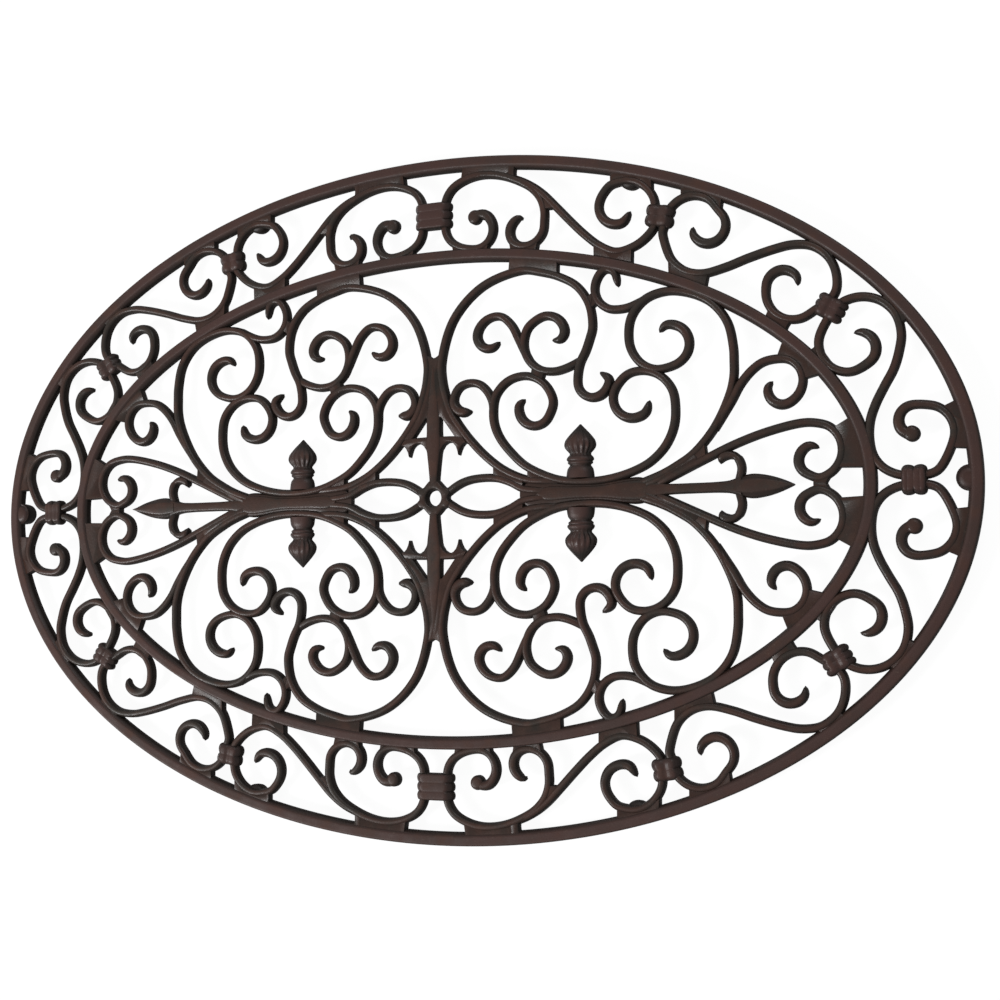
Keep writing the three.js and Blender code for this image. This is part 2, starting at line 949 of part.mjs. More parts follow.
function rosette() {
  const disc = turned([
    [0, UNDERSIDE],
    [ROSETTE_RADIUS, UNDERSIDE],
    [ROSETTE_RADIUS - PLATE_SLOPE, BAR_TOP],
    [0, BAR_TOP],
  ], ROUND_FACETS);
  const hole = turned([
    [0, BELOW],
    [ROSETTE_HOLE, BELOW],
    [ROSETTE_HOLE, ABOVE],
    [0, ABOVE],
  ], ROUND_FACETS);
  const right = mullionHalf.map(panel);
  const left = right.map(([x, y]) => [-x, y]).reverse();
  const arms = [];
  for (const sy of BOTH) {
    arms.push(prism(flip([...right, ...left], sy, sy), UNDERSIDE, UNDERSIDE + PLATE_DEPTH));
    for (const sx of BOTH) {
      arms.push(bar(flippedRoute(almond, sx, sy)));
      arms.push(web(flip(crossArm.map(panel), sx, sy)));
    }
  }
  const neighbours = [...mirroredSpaces(innerLoop, BOTH, BOTH), spearSpace(1), spearSpace(-1)];
  return without(join(disc, ...arms), hole, ...neighbours);
}

// Half of a turned bud lying on the panel, its root over the lyre bar
function finial() {
  const points = finialProfile.map(([radius, far]) => new THREE.Vector2(radius, far));
  const geometry = new THREE.LatheGeometry(points, FINIAL_SIDES);
  const widest = Math.max(...finialProfile.map(([radius]) => radius));
  geometry.scale(1, 1, FINIAL_HEIGHT / widest);
  const [x, y] = panel(FINIAL_PLACE);
  geometry.translate(x, y, UNDERSIDE);
  const bud = solid(geometry).trimByPlane([0, 0, 1], UNDERSIDE);
  return without(bud, space(lyreScroll, BAR_TOP + CLEARANCE), spearSpace(1));
}

const iron = { metalness: 0.55, roughness: 0.6 };
const bandIron = new THREE.MeshStandardMaterial({ color: 0x4b3b38, ...iron });
const barIron = new THREE.MeshStandardMaterial({ color: 0x43342f, ...iron });
const clipIron = new THREE.MeshStandardMaterial({ color: 0x4f3f38, ...iron });
const budIron = new THREE.MeshStandardMaterial({ color: 0x4a3832, ...iron });

const group = new THREE.Group();

function place(name, geometry, material, sideX = 1, sideY = 1) {
  const mesh = new THREE.Mesh(geometry, material.clone());
  mesh.name = name;
  mesh.scale.set(sideX, sideY, 1);
  group.add(mesh);
}

const SIDES_X = { right: 1, left: -1 };
const SIDES_Y = { back: 1, front: -1 };

function placeFour(name, body, material) {
  const geometry = geometryOf(body);
  for (const [sideY, sy] of Object.entries(SIDES_Y)) {
    for (const [sideX, sx] of Object.entries(SIDES_X)) {
      place(`${name}_${sideY}_${sideX}`, geometry, material, sx, sy);
    }
  }
}

place('outer_rim', geometryOf(outerRim()), bandIron);
place('inner_ring', geometryOf(band(RING_OUTER, RING_INNER)), bandIron);

placeFour('side_scroll', borderPiece([sideScroll], sideWebs, []), barIron);
placeFour('hook_scroll', borderPiece([hookScroll], hookWebs, [space(sideScroll)]), barIron);
placeFour('long_scroll', borderPiece([longScroll], longWebs, [space(hookScroll)]), barIron);
placeFour('end_scroll', borderPiece([endScroll], endWebs, [space(longScroll)]), barIron);

placeFour('lyre_scroll', panelPiece([lyreScroll, lyreHook], [], []), barIron);
const lyreSpaces = [space(lyreScroll), space(lyreHook)];
placeFour('inner_loop', panelPiece([innerLoop], innerWebs, [...lyreSpaces, spearSpace(1)]), barIron);
const heartNeighbours = [space(innerLoop), ...lyreSpaces];
placeFour('heart_scroll', panelPiece([heartScroll, heartBranch], heartWebs, heartNeighbours), barIron);
placeFour('fan_scroll', panelPiece([fanScroll], fanWebs, [spearSpace(1)]), barIron);
const outerNeighbours = [...lyreSpaces, spearSpace(1), space(fanScroll), space(innerLoop)];
const outerRoutes = [outerLoop, loopHook, loopBranch];
placeFour('outer_loop', panelPiece(outerRoutes, outerWebs, outerNeighbours), barIron);

const spearGeometry = geometryOf(spear());
place('spear_right', spearGeometry, barIron);
place('spear_left', spearGeometry, barIron, -1);
placeFour('finial', finial(), budIron);
place('centre_rosette', geometryOf(rosette()), barIron);

const sideClip = clip(sideClipLine, SIDE_CLIP_WALL, SIDE_CLIP_RIDGES, [sideScroll], BOTH, ONE);
const sideClipGeometry = geometryOf(sideClip);
place('side_clip_back', sideClipGeometry, clipIron);
place('side_clip_front', sideClipGeometry, clipIron, 1, -1);

const endClip = clip(endClipLine, END_CLIP_WALL, SMALL_CLIP_RIDGES, [endScroll], ONE, BOTH);
const endClipGeometry = geometryOf(endClip);
place('end_clip_right', endClipGeometry, clipIron);
place('end_clip_left', endClipGeometry, clipIron, -1);

const tied = [hookScroll, longScroll];
placeFour('tie_clip', clip(tieClipLine, TIE_CLIP_WALL, SMALL_CLIP_RIDGES, tied, ONE, ONE), clipIron);
const cornered = [longScroll, endScroll];
const cornerClip = clip(cornerClipLine, CORNER_CLIP_WALL, SMALL_CLIP_RIDGES, cornered, ONE, ONE);
placeFour('corner_clip', cornerClip, clipIron);

export default group;
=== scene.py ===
import math

import bpy
import numpy as np
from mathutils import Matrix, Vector, noise


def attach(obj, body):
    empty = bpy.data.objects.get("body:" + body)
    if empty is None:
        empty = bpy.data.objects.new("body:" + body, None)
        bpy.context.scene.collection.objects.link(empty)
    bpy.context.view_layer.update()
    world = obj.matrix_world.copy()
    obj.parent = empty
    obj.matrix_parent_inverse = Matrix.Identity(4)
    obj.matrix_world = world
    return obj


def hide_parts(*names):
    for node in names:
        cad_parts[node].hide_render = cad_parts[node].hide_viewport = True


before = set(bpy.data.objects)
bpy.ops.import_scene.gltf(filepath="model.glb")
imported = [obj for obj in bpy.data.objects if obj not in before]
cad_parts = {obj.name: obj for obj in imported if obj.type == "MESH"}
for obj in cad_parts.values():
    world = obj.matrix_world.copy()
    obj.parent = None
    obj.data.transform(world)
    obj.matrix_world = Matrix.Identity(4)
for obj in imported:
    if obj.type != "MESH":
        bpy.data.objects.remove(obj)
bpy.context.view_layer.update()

# Routes and sizes below are in millimetres, and meshes are scaled to metres
MM = 0.001

# Heights: the floor is zero, the feet carry the casting
UNDERSIDE = 6.0
TOP = 13.0
BAR_TOP = 12.6
CLIP_TOP = 14.45
WEB_TOP = 11.8
PLATE_TOP = 12.2
BASE_TOP = 11.5
ARM_TOP = 11.9

# Bands, as half length and half width
RIM_OUTER = (360.5, 232.5)
RIM_BAND = 9.0
RING_OUTER = (298.0, 169.0)
RING_BAND = 8.6
OVAL_STEPS = 420

# Feet: how far their middles lie inside the outline, and where the side feet stand on it, in degrees
FOOT_INSET = 8.3
SIDE_FOOT_ANGLE = 66.2

# Bars
HALF_BAR = 2.8
STEP = 1.5
ARC_STEP = 36
EVENING_PULLS = (0.5, -0.52) * 6
ROOT_SINK = 1.6
ROOT_LENGTH = 12.0
SINK_LENGTH = 45.0
SINK_POWER = 1.5
ROOTED = (ROOT_SINK, 0.0)
BOTH_ROOTED = (ROOT_SINK, ROOT_SINK)
TIP_DROP = 0.45
TIP_ROUNDING = 1.1
SECTION_MIDDLE = 0.45
WEB_HOLLOW = 0.1
HOLLOW_STEPS = 7
TURNED_SIDES = 28

# Knobs at the ends of the side and end scrolls
EYE_RADIUS = 4.9
EYE_RISE = 0.2
SIDE_EYE = (31.3, 190.1)
END_EYE = (319.2, 27.8)

# Clips
RIDGE_DEPTH = 0.4
LUMP_DEPTH = 1.3
END_FALL = 0.75
END_SHRINK = 0.45
VALLEY_SHARPNESS = 2.2

# Unevenness of the casting
WAVE_SIZE = 26.0
WAVE_HEIGHT = 0.2
GRAIN_SIZE = 5.0
GRAIN_HEIGHT = 0.05
GRAIN_SHIFT = 50
FADE_HEIGHT = 5
SHARP_ANGLE = 50

# The photograph's viewpoint
CAMERA_PLACE = (0.4840, -0.0798, 0.9955)
CAMERA_TILT = (3.925, 23.856, -0.379)
LENS = 58.37
SENSOR_WIDTH = 36


def make_camera():
    data = bpy.data.cameras.new("camera")
    data.lens = LENS
    data.sensor_width = SENSOR_WIDTH
    data.clip_start = 0.01
    data.clip_end = 50
    camera = bpy.data.objects.new("camera", data)
    camera.location = CAMERA_PLACE
    camera.rotation_euler = [math.radians(angle) for angle in CAMERA_TILT]
    bpy.context.scene.collection.objects.link(camera)
    bpy.context.scene.camera = camera


make_camera()


def arc(x, y, radius, start, end):
    """Points on an arc, angles in degrees."""
    count = math.ceil(abs(end - start) / ARC_STEP)
    angles = np.radians(np.linspace(start, end, count + 1))
    return [(x + radius * math.cos(a), y + radius * math.sin(a)) for a in angles]


def spline(points, per_span=24):
    """A centripetal Catmull-Rom curve through the points, finely sampled."""
    p = np.array(points, float)
    p = np.vstack([2 * p[0] - p[1], p, 2 * p[-1] - p[-2]])
    t = np.linspace(0, 1, per_span, endpoint=False)[:, None]
    a = 2 * t**3 - 3 * t**2 + 1
    b = t**3 - 2 * t**2 + t
    c = -2 * t**3 + 3 * t**2
    d = t**3 - t**2
    found = []
    for i in range(1, len(p) - 2):
        d0, d1, d2 = [np.linalg.norm(p[j + 1] - p[j]) ** 0.5 for j in (i - 1, i, i + 1)]
        m1 = (p[i] - p[i - 1]) / d0 - (p[i + 1] - p[i - 1]) / (d0 + d1) + (p[i + 1] - p[i]) / d1
        m2 = (p[i + 1] - p[i]) / d1 - (p[i + 2] - p[i]) / (d1 + d2) + (p[i + 2] - p[i + 1]) / d2
        found.append(a * p[i] + b * m1 * d1 + c * p[i + 1] + d * m2 * d1)
    found.append(p[-2][None])
    return np.vstack(found)


def smoothed(places):
    """Evens out the turning of a curve without drawing it in."""
    for pull in EVENING_PULLS:
        middle = (places[:-2] + places[2:]) / 2
        places[1:-1] += pull * (middle - places[1:-1])
    return places


def walk(points):
    """Places along the curve at equal steps, with their distances and the whole length."""
    curve = spline(points)
    gaps = np.linalg.norm(np.diff(curve, axis=0), axis=1)
    gone = np.concatenate([[0], np.cumsum(gaps)])
    count = max(4, math.ceil(gone[-1] / STEP))
    at = np.linspace(0, gone[-1], count + 1)
    places = np.stack([np.interp(at, gone, curve[:, k]) for k in (0, 1)], 1)
    return smoothed(places), at, gone[-1]


def across_of(places):
    """Unit vectors to the left of the curve."""
    along = np.gradient(places, axis=0)
    along /= np.linalg.norm(along, axis=1)[:, None]
    return np.stack([-along[:, 1], along[:, 0]], 1)


# Half widths near an end: pairs of distance from the end and half width
PLAIN = ((0, HALF_BAR), (1, HALF_BAR))
TAPER = (
    (0, 0.6), (2, 1.5), (4, 2.25), (7, 2.85), (12, 3.25), (20, 3.3), (30, 3.0), (40, HALF_BAR),
)
KNOB = ((0, 3.5), (7, 3.6), (16, 3.3), (30, HALF_BAR))
BEAK = ((0, 0.4), (2, 1.7), (5, 3.3), (9, 3.7), (14, 3.5), (22, HALF_BAR))
STUB = ((0, 0.6), (2, 1.6), (5, 2.4), (10, 2.7), (18, HALF_BAR))
PETAL = ((0, 0.6), (3.5, 2.9), (7, 3.2), (14, 2.4))

# Right half of the section of a bar, from its underside to its crest, as shares
SECTION = (
    (0.82, 0.0), (0.96, 0.04), (1.0, 0.14), (0.98, 0.44), (0.92, 0.64),
    (0.80, 0.81), (0.62, 0.915), (0.40, 0.972), (0.19, 0.995), (0.0, 1.0),
)
RING = np.array(list(SECTION) + [(-u, v) for u, v in SECTION[-2::-1]], float)


def end_width(profile, distance):
    """Half width at distances from an end."""
    return np.interp(distance, [d for d, _ in profile], [w for _, w in profile])


def rounding(at, length, start, end):
    """Share of the section left near a free end, as the end rounds off."""
    share = np.ones_like(at)
    for profile, away in ((start, at), (end, length - at)):
        if profile not in (PLAIN, KNOB):
            near = np.clip(away / (profile[0][1] * TIP_ROUNDING), 0, 1)
            share *= np.sqrt(np.clip(1 - (1 - near) ** 2, 0.02, 1))
    return share


def loft(rings, closed=False):
    """Quads over equal rings of points, with a flat cap at each end."""
    rings = np.asarray(rings, float)
    count, sides = rings.shape[:2]
    faces = []
    last = count if closed else count - 1
    for i in range(last):
        here, there = i * sides, ((i + 1) % count) * sides
        for j in range(sides):
            k = (j + 1) % sides
            faces.append((here + j, here + k, there + k, there + j))
    if not closed:
        faces.append(tuple(range(sides))[::-1])
        faces.append(tuple((count - 1) * sides + j for j in range(sides)))
    return rings.reshape(-1, 3), faces


def bar(points, start=TAPER, end=TAPER, sinks=(0.0, 0.0)):
    """A round-topped bar along a route, which may sink at its ends into what carries it."""
    places, at, length = walk(points)
    first = end_width(start, at)
    last = end_width(end, length - at)
    half = np.where(at < length / 2, first, last)
    share = rounding(at, length, start, end)
    drop = sinks[0] * np.clip(1 - at / ROOT_LENGTH, 0, 1) ** SINK_POWER
    drop += sinks[1] * np.clip(1 - (length - at) / ROOT_LENGTH, 0, 1) ** SINK_POWER
    thin = np.clip(1 - half / HALF_BAR, 0, 1)
    depth = (BAR_TOP - UNDERSIDE - drop) * (1 - TIP_DROP * thin)
    rings = []
    for place, left, wide, rest, deep in zip(places, across_of(places), half, share, depth):
        ring = np.zeros((len(RING), 3))
        ring[:, :2] = place - np.outer(RING[:, 0] * wide * rest, left)
        middle = deep * SECTION_MIDDLE
        ring[:, 2] = UNDERSIDE + middle + (RING[:, 1] * deep - middle) * rest
        rings.append(ring)
    return loft(rings)


def branch(points, end=TAPER):
    """A bar whose plain start sinks into the bar that it springs from."""
    return bar(points, start=PLAIN, end=end, sinks=ROOTED)


def turned(profile, centre):
    """A turned solid about the upright axis, from pairs of radius and height."""
    angles = np.linspace(0, 2 * math.pi, TURNED_SIDES, endpoint=False)
    rings = []
    for radius, height in profile:
        x = centre[0] + radius * np.cos(angles)
        y = centre[1] + radius * np.sin(angles)
        rings.append(np.stack([x, y, np.full(TURNED_SIDES, height)], 1))
    return loft(rings)


def eye(centre):
    """Knob in the middle of a scroll."""
    top = BAR_TOP + EYE_RISE
    edge = [(0.9, UNDERSIDE), (1, UNDERSIDE + 0.6), (1, top - 2.6), (0.93, top - 1.3)]
    crown = [(0.78, top - 0.5), (0.5, top - 0.1), (0.15, top)]
    return turned([(EYE_RADIUS * share, height) for share, height in edge + crown], centre)


def hollow(a, b):
    """Points from a to b on an edge that bows to its left, b left out."""
    a, b = np.array(a, float), np.array(b, float)
    left = np.array([a[1] - b[1], b[0] - a[0]])
    shares = np.linspace(0, 1, HOLLOW_STEPS, endpoint=False)
    return [a + (b - a) * s + left * WEB_HOLLOW * 4 * s * (1 - s) for s in shares]


def slab(outline, top):
    """A flat piece with a rounded upper edge, from an outline with open corners."""
    outline = np.array(outline, float)
    x, y = outline.T
    if np.sum(x * np.roll(y, -1) - y * np.roll(x, -1)) < 0:
        outline = outline[::-1]
    ahead = np.roll(outline, -1, axis=0) - outline
    ahead /= np.linalg.norm(ahead, axis=1)[:, None]
    behind = np.roll(ahead, 1, axis=0)
    inward = np.stack([-(ahead + behind)[:, 1], (ahead + behind)[:, 0]], 1)
    inward /= np.linalg.norm(inward, axis=1)[:, None]
    steps = ((0.2, UNDERSIDE), (0, UNDERSIDE + 0.4), (0.1, top - 1.4), (0.35, top - 0.5), (0.9, top))
    return loft([np.column_stack([outline + inward * far, np.full(len(x), z)]) for far, z in steps])


def web(points):
    """Thin iron between two bars: four corners, hollow on its second and fourth edge."""
    a, b, c, d = [np.array(p, float) for p in points]
    x, y = np.array([a, b, c, d]).T
    anticlockwise = np.sum(x * np.roll(y, -1) - y * np.roll(x, -1)) > 0
    if not anticlockwise:
        a, b, c, d = b, a, d, c
    return slab([a, *hollow(b, c), c, *hollow(d, a)], WEB_TOP)


def between(webs=(), fills=()):
    """The webs and the fills of a scroll."""
    return [web(w) for w in webs] + [slab(outline, WEB_TOP) for outline in fills]


def oval_band(outer, width):
    """A band between two ovals: a narrow rounding outside, a wide slope inside."""
    top = TOP
    profile = [
        (0.25, UNDERSIDE), (0.0, UNDERSIDE + 0.3), (0.0, top - 1.5), (0.15, top - 0.8),
        (0.55, top - 0.28), (1.2, top - 0.03), (2.2, top), (width / 2, top), (width - 3.1, top - 0.02),
        (width - 2.5, top - 0.25), (width - 1.7, top - 0.95), (width - 0.8, top - 1.85),
        (width - 0.25, top - 2.7), (width, top - 3.7), (width, UNDERSIDE + 0.3),
        (width - 0.25, UNDERSIDE),
    ]
    rings = []
    for angle in np.linspace(0, 2 * math.pi, OVAL_STEPS, endpoint=False):
        normal = np.array([math.cos(angle) / outer[0], math.sin(angle) / outer[1]])
        normal /= np.linalg.norm(normal)
        place = np.array([outer[0] * math.cos(angle), outer[1] * math.sin(angle)])
        rings.append([(*(place - normal * inward), height) for inward, height in profile])
    return loft(np.array(rings)[:, ::-1], closed=True)


# Right half of the top of a plate and of the spear head, as shares of the half width and falls from
# the crest
PLATE_SECTION = (
    (1.0, 3.0), (0.97, 1.5), (0.90, 0.7), (0.78, 0.3), (0.55, 0.12), (0.28, 0.03), (0.0, 0.0),
)
HEAD_SECTION = (
    (1.0, 3.6), (0.95, 2.3), (0.80, 1.6), (0.66, 1.2), (0.58, 0.4), (0.45, 0.12), (0.0, 0.0),
)


def plate(stations, height=PLATE_TOP, section=PLATE_SECTION, sink=0.0):
    """A plate along X, from pairs of place and half width, which may sink at its far end."""
    xs = np.array([s[0] for s in stations], float)
    halves = np.array([s[1] for s in stations], float)
    fine = np.linspace(xs[0], xs[-1], math.ceil((xs[-1] - xs[0]) / STEP) + 1)
    dense = spline(np.column_stack([xs, halves]))
    wide = np.maximum(np.interp(fine, dense[:, 0], dense[:, 1]), 0.25)
    tops = height - sink * np.clip(1 - (xs[-1] - fine) / SINK_LENGTH, 0, 1) ** SINK_POWER
    rings = []
    for x, half, crest in zip(fine, wide, tops):
        low = [(x, -half * 0.96, UNDERSIDE), (x, half * 0.96, UNDERSIDE), (x, half, UNDERSIDE + 0.5)]
        top = [(x, half * u, crest - fall) for u, fall in section]
        top += [(x, -half * u, crest - fall) for u, fall in section[-2::-1]]
        rings.append(np.array(low + top + [(x, -half, UNDERSIDE + 0.5)]))
    return loft(rings)


# Routes of the border scrolls in one quarter
SIDE_SCROLL = [
    (30.6, 191.2), *arc(32, 180.8, 12.3, 60, -90), (20, 170.8), (12.4, 175.8), (9.2, 181.5), (8.5, 187),
    (9, 203.2), (14, 211.5), (24, 216.9), (36, 218.9), (50, 217), (64, 211.3), (73, 205.4), (79.2, 197.8),
    (81.8, 189.5), *arc(68, 180.7, 13.9, 8, -90), *arc(66.5, 177, 9.8, 235, 100), (66, 184.7),
]
HOOK_SCROLL = [
    (57, 214.6), (64, 211.9), (72, 207.6), (80.3, 201.3), (90.3, 191), (100.3, 180.3), (110.3, 170.3),
    (120.3, 162.2), (132.3, 156.8), (144.3, 159), (153.3, 164.5), (158.8, 171.3),
    *arc(138.3, 182, 21.3, -10, 110),
    (128.3, 201), *arc(132.8, 187.5, 12.4, 150, 290), (142.3, 182.7),
]
LONG_SCROLL = [
    (184.6, 168), *arc(194.8, 167.3, 11.2, 200, 380), *arc(184, 169.2, 19, 25, 180), (164, 167.6),
    *arc(190.3, 162.1, 25, 190, 270), (205.3, 139.7), (220.8, 144.4), (238, 148.6),
    *arc(251, 125.3, 24.8, 95, -20), *arc(249.3, 121, 18.2, -50, -165), *arc(241.8, 124.2, 10.5, 180, 30),
    (251.3, 123.8),
]
END_SCROLL = [
    (285.3, 91.4), *arc(288.3, 81.4, 10.5, 85, -40), *arc(282.3, 86.4, 18.6, -85, -215),
    *arc(289.9, 89.4, 24.2, 120, 0), (312.8, 79.4), (309.3, 68.2), (303.3, 57.5), (297.8, 47),
    (294.3, 36.8), (293.6, 25.6), (295.8, 15.4), (301.3, 8.2), (308.3, 4.3), (314.3, 2.95), (327.3, 2.95),
    (334.3, 5.8), *arc(326.8, 27.8, 17.3, -25, 90), *arc(320.6, 36, 9.3, 100, 215), (318.8, 26.7),
]

# Routes of the centre panel in one quarter
LYRE_SCROLL = [
    (67, 63.8), *arc(73.9, 57, 11.5, 165, 340), *arc(65.3, 57.5, 21.9, 10, 190), (45.2, 45.5),
    (49.2, 37.3), (56.2, 28.7), (65.3, 20.2), (76.3, 14.1), (90, 9.2), (105, 7.4), (120, 7.6),
    (135, 10.3), (147.3, 14.6), (155.3, 19.2), (164.3, 28.2), (169.8, 39.8),
    *arc(147.8, 54.1, 23.3, -5, 110), *arc(142.3, 60.4, 13.4, 140, 310), (153.8, 58),
]
LYRE_HOOK = [
    (43.6, 54.5), (43, 63.5), (38.8, 71.2), (33.3, 75.8), (26.3, 77.1), (19.3, 74.8), (15.3, 69),
    (14.8, 63), (19.3, 58), (28.3, 57.5),
]
INNER_LOOP = [
    (92, 8.2), (80, 8.6), (70.2, 9.6), (62, 11.9), (49.8, 17.8), (37.8, 26.9), (27.7, 37), (19.7, 46.8),
    (12.2, 58.5), (8.2, 70), (5.9, 80), *arc(67.6, 88.3, 62.3, 176, 92), (78.5, 148.3),
    *arc(80.3, 111, 35, 72, -5), (113.6, 102), (110.3, 93), (106.3, 85), *arc(115.3, 73, 11, 170, 330),
    (126.3, 73), (119.8, 78.5),
]
HEART_SCROLL = [
    (107.4, 87.4), (101.4, 84.4), (95.3, 82.2), *arc(86.3, 100.8, 19.9, -85, -210),
    *arc(82.8, 105.8, 12.7, 125, 5), (92.8, 102.1), (86.3, 101.6),
]
HEART_BRANCH = [
    (70.6, 88.4), (66.9, 95.2), (62.8, 103.8), (57.3, 114.2), (49.3, 120.7), (40.3, 119.7), (33.8, 113.7),
    (32.3, 106.8), (36.3, 100.8), (43.3, 99.8), (48.8, 103.8),
]
OUTER_LOOP = [
    (144, 3.5), (161.8, 9.9), (171.8, 15), (182.8, 22.2), (196.5, 37.7), (206.8, 58.2), (209.6, 69.3),
    (209.9, 80), *arc(171.3, 88.3, 38.3, 0, 75), *arc(165.3, 102.2, 25.5, 90, 190),
    *arc(161.3, 98.2, 20.6, 205, 290), *arc(167.6, 92.8, 13.2, 305, 460), (160.8, 101.3),
]
LOOP_HOOK = [
    (155.5, 125.8), (147.6, 121.9), (140.3, 119.4), (133.3, 118.7), *arc(131.3, 133.2, 14.3, 250, 150),
    (124.3, 145.7), (130.3, 143.7), (133.3, 133.2),
]
LOOP_BRANCH = [
    (196.5, 36.8), (202, 45), (208, 54.2), (213.8, 64.2), (220.8, 72.2), (228.3, 77.3),
    *arc(239.3, 64.8, 14.3, 100, -30), *arc(240.8, 59.6, 9.5, -50, -190), (234.6, 65.1),
]
FAN_SCROLL = [
    (156, 2.5), (168.3, 8.1), (190.3, 18.2), (210.3, 26.9), (230.3, 33.5), (251.3, 37.8),
    *arc(259.8, 20.5, 17.2, 90, -80), *arc(259.3, 14.5, 9.4, 250, 100), (263, 21.8),
]
SPEAR_PETAL = [(211.8, 3), (213.8, 11.5), (211.3, 18), (206.3, 20.2), (201.3, 18.5), (200.3, 14.5)]
ALMOND = [
    (8, 2.2), (13.5, 5.9), (20, 9.4), (27, 11.5), (34.5, 12.3), (41, 12.3), (47, 11.6), (56, 8.6),
    (65, 4.1), (74, 2.6), (86, 1.8),
]

# Right half of the outline of the cross arm, with a thorn that points to the long axis
CROSS_ARM = [
    (0, 41.9), (12, 41.7), (22, 41.3), (25, 36.6), (22.6, 35.8), (21.1, 34.2), (19.8, 31.6), (18.6, 28.3),
    (17.5, 31.6), (16.4, 34.4), (14.6, 36.4), (12.6, 37.4), (10, 37.1), (7.6, 35.5), (5.6, 32.4), (4.4, 28),
    (0, 28),
]

# Two layers of the plate on the long axis and the head of the spear, as place and half width
STEM_BASE = [
    (63.6, 3.2), (65, 5), (67, 7.4), (71, 9.6), (80, 9.6), (92, 7.2), (105, 6), (120, 6), (135, 8),
    (147, 8.5), (154, 5.9), (165, 3.5),
]
STEM = [
    (76, 0.6), (79, 3.4), (83, 4.9), (88, 5), (95, 4.5), (105, 4.2), (120, 4.3), (128, 5.2), (136, 6.4),
    (146, 6.9), (154, 5.3), (165, 3.6), (182, 3.3), (200, 3.5), (207, 4.2), (214, 6.6),
]
HEAD = [(211, 5.8), (220, 7.7), (228, 7), (236, 5), (243, 2.3), (247, 0.4)]

# Upright bar, as place along Y and half width
MULLION = [
    (9, 3.1), (13, 3.1), (18, 3.6), (23, 4.15), (28, 4.8), (33.5, 5.4), (37, 5.9), (40, 5.7), (44, 5.3),
    (55, 5.2), (61, 4.4), (70, 3.4), (80, 2.6), (93, 1.6),
]

# Right half of the outline of the iron between the upright bar and the inner loops
CROTCH = [
    (0, 53), (5.8, 54.4), (10.4, 48.2), (16.3, 40.2), (24.2, 40.2), (19.7, 46.8), (12.2, 58.5),
    (8.2, 70), (5.9, 80), (5.5, 92.6), (5.8, 98.8), (3.4, 97.4), (1.8, 96.3), (0, 95.8),
]

# Outline of the hub round the centre hole, from the long axis to the upright bar
HUB = [(10.9, 0), (11.3, 1.6), (12.8, 3.2), (11, 6.6), (8.2, 7), (5.6, 9.5), (2.9, 12), (0, 12.2)]
HUB_HOLE = 5.8

# Webs, four corners each: the first and third edge lie under what they join. Fills have more corners
SIDE_FILLS = [
    [(21, 215.5), (28, 218.1), (36, 218.9), (45, 218.2), (57.5, 214), (57.5, 228), (23, 229)],
    [(14, 174.5), (20, 170.8), (26, 169.3), (32, 168.5), (38, 169.8), (42, 172.5), (40, 160), (16, 161)],
    [(56.5, 172), (61, 168.8), (67, 166.9), (73, 167.7), (78.5, 171.6), (76, 160), (58, 161)],
]
HOOK_WEBS = [
    [(54, 215), (62, 212.5), (62, 222), (54, 228)],
]
HOOK_FILLS = [
    [(117, 165), (124, 160), (132, 157), (139, 157.6), (144, 159.5), (143.5, 146), (131, 149), (117, 152)],
    [(79, 200), (90, 190.8), (88.5, 189.8), (81.5, 189.8)],
    [
        (129, 202.3), (129, 211), (143, 208), (158, 203.5), (158, 195), (149.5, 201), (140.3, 204),
        (132.5, 203.5),
    ],
]
LONG_WEBS = [
    [(256, 149), (272, 138), (280, 142), (264, 158)],
    [(233, 113), (249, 103), (243, 92), (228, 103)],
]
LONG_FILLS = [
    [
        (168, 149.5), (172, 144.6), (177, 141), (183, 138.3), (190.3, 137.1), (195, 137.3), (192, 124),
        (168, 136),
    ],
    [
        (177, 188), (184, 189.2), (190.8, 188), (196.9, 184.5), (201.3, 179.2), (203.4, 176.2),
        (205, 185.2), (192, 191.5), (177, 197),
    ],
]
END_WEBS = [
    [(263.4, 86.6), (272, 74), (264, 66), (255, 82)],
    [(300, 111), (314, 94), (322, 98), (308, 116)],
]
END_FILLS = [
    [(341.3, 18.2), (344.1, 27.8), (341.8, 36.5), (336, 42.5), (347, 47.5), (354, 32), (355, 17)],
]
INNER_FILLS = [
    [(56, 149.5), (67.6, 150.4), (80, 147.9), (91.5, 144.1), (92, 158), (57, 162)],
    [
        (44, 12), (44, 20.5), (50, 17.8), (56, 14.8), (62, 11.9), (66, 10.5), (66, 5), (60, 7),
        (52, 10), (47, 11.6),
    ],
    [(68.7, 10.5), (68.7, 18), (76.3, 14.1), (83, 11.3), (90, 9.2), (90, 7.5), (80, 8.6)],
]
OUTER_WEBS = [[(111, 128.5), (114.7, 119), (120.5, 123.5), (117, 133.5)]]
OUTER_FILLS = [
    [
        (237.3, 79), (244.2, 78.2), (250.3, 74), (253.4, 67.3), (253.6, 64.5), (268, 68), (260, 77),
        (246, 90), (242, 91),
    ],
    [(180, 20), (188, 28), (190.5, 31), (192, 18.9), (180, 14)],
]
HEART_WEBS = [[(70, 77), (80, 72), (84, 83), (72, 88)]]
# The second one reaches past the long axis, so that it joins its mirror image without a seam
FAN_FILLS = [
    [(271.1, 33.5), (275.4, 27.8), (277, 20.5), (275.7, 14.1), (273, 9.2), (293, 8.5), (285, 41.5)],
    [(259, -1.2), (266.8, -1.2), (268.3, 1.4), (270.8, 5.6), (271.5, 9), (265, 4.4), (259, 3.6)],
]

# Outline of the iron between the roots of the outer loop and the fan scroll
FAN_ROOT = [
    (151, 5.8), (161.8, 9.9), (171.8, 15), (182.8, 22.2), (186, 19.5), (186, 16.2), (180, 13.5),
    (168.3, 8.1), (157, 3), (151, 1.2),
]

